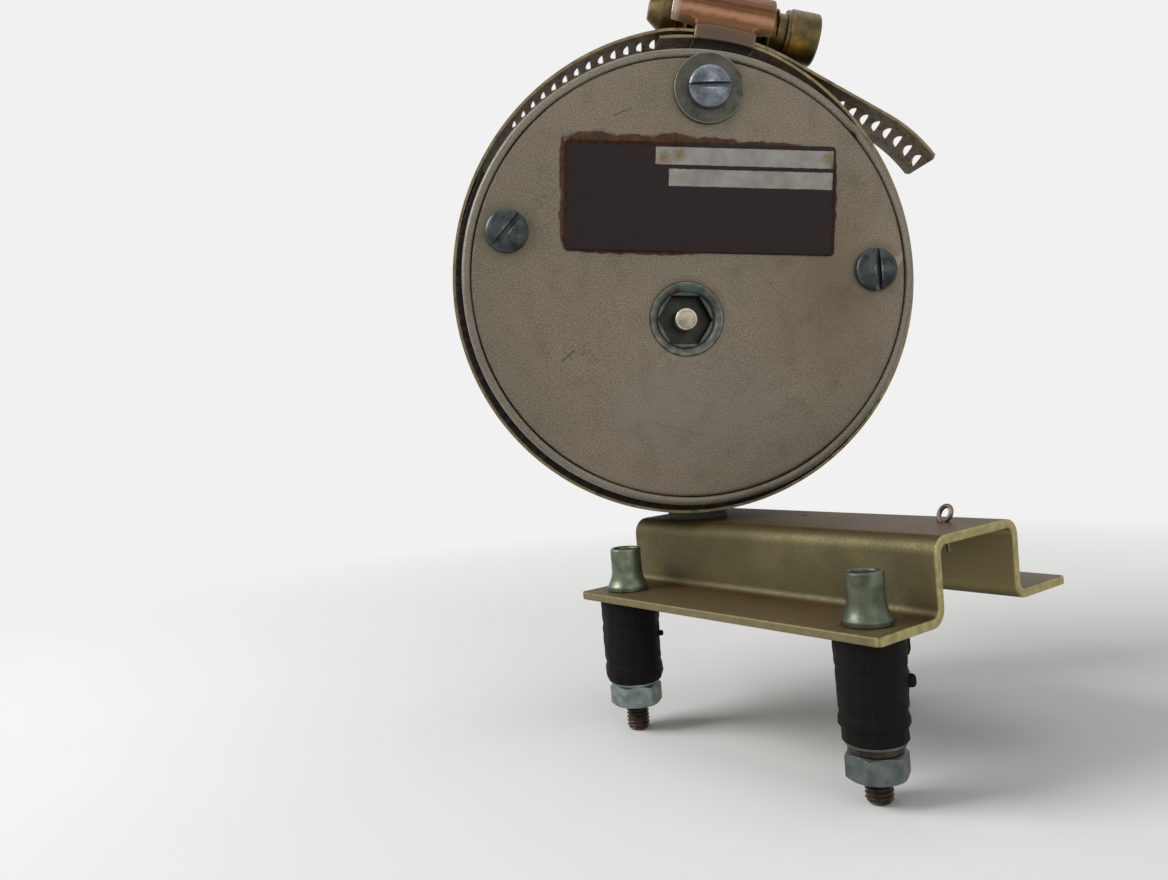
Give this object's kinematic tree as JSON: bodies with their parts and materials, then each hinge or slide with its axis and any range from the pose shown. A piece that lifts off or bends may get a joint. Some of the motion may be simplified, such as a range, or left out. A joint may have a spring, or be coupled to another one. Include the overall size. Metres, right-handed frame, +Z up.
{
  "type": "altitude hold module",
  "caption": "Round static-pressure can held in a worm-drive band on a hat-section bracket with rubber mounts.",
  "frame": {"origin": "centre of the left front stud's lower end", "axes": "+X along the bracket from the left front stud to the right front stud, +Y from the front flange to the rear flange, +Z up through the stack from the stud ends to the clamp's worm housing; the can's face looks down -Y turned 55.3 degrees towards +X"},
  "size_m": [0.1166, 0.1023, 0.161],
  "materials": {
    "olive_chromate": "olive chromate conversion coat, scuffed at its edges",
    "zinc_plate": "zinc plate gone dull and green-grey",
    "mount_rubber": "moulded black rubber, matt",
    "plated_stud": "plated steel with brown rust in the thread",
    "plated_nut": "zinc plated steel, blue-grey",
    "can_paint": "warm grey-brown finish, semi-matt, lightly scratched",
    "seal_rubber": "dark rubber strip",
    "blued_screw": "plain steel with a blue-grey bloom",
    "patina_brass": "brass under a green-brown patina",
    "etched_plate": "dark etched plate with pale blank fields, rusty at its upper edge",
    "capsule_bronze": "spring bronze",
    "soft_iron": "soft iron, bare",
    "enamel_wire": "enamelled copper winding",
    "bare_aluminium": "machined aluminium",
    "steel_screw": "plain steel",
    "laminate_board": "phenolic laminate",
    "connector_grey": "grey anodised aluminium",
    "insert_plastic": "black moulded plastic",
    "gold_contact": "gold plated contacts",
    "port_brass": "turned brass",
    "band_steel": "steel strip, dark with age",
    "copper_housing": "pressed steel with a coppery tint",
    "worm_brass": "olive brass plating, bright gold where it is rubbed"
  },
  "bodies": {
    "root": {"bracket": "olive_chromate", "split_pin": "zinc_plate", "ferrule_left": "zinc_plate", "rubber_left": "mount_rubber", "stud_left": "plated_stud", "ferrule_right": "zinc_plate", "rubber_right": "mount_rubber", "stud_right": "plated_stud", "ferrule_rear": "zinc_plate", "rubber_rear": "mount_rubber", "stud_rear": "plated_stud", "flat_washers": "plated_nut", "lock_washers": "plated_nut", "mount_nuts": "plated_nut", "can_housing": "can_paint", "cover_plate": "can_paint", "cover_seal": "seal_rubber", "cover_screws": "blued_screw", "face_washer": "patina_brass", "nameplate": "etched_plate", "adjuster_bush": "patina_brass", "capsule_post": "patina_brass", "capsule_front": "capsule_bronze", "capsule_rear": "capsule_bronze", "capsule_stem": "capsule_bronze", "clutch_disc": "soft_iron", "clutch_magnet": "soft_iron", "clutch_coil": "enamel_wire", "pickup_vane": "soft_iron", "pickup_core": "soft_iron", "pickup_coil": "enamel_wire", "pickup_foot": "bare_aluminium", "inner_plate": "bare_aluminium", "inner_screws": "steel_screw", "terminal_board": "laminate_board", "board_spacers": "bare_aluminium", "board_screws": "steel_screw", "connector_shell": "connector_grey", "connector_insert": "insert_plastic", "connector_pins": "gold_contact", "connector_screws": "steel_screw", "static_port": "port_brass", "clamp_pad": "insert_plastic", "clamp_rivet": "band_steel", "clamp_liner": "seal_rubber", "clamp_band": "band_steel", "clamp_housing": "copper_housing", "clamp_screw": "worm_brass"}
  },
  "joints": []
}
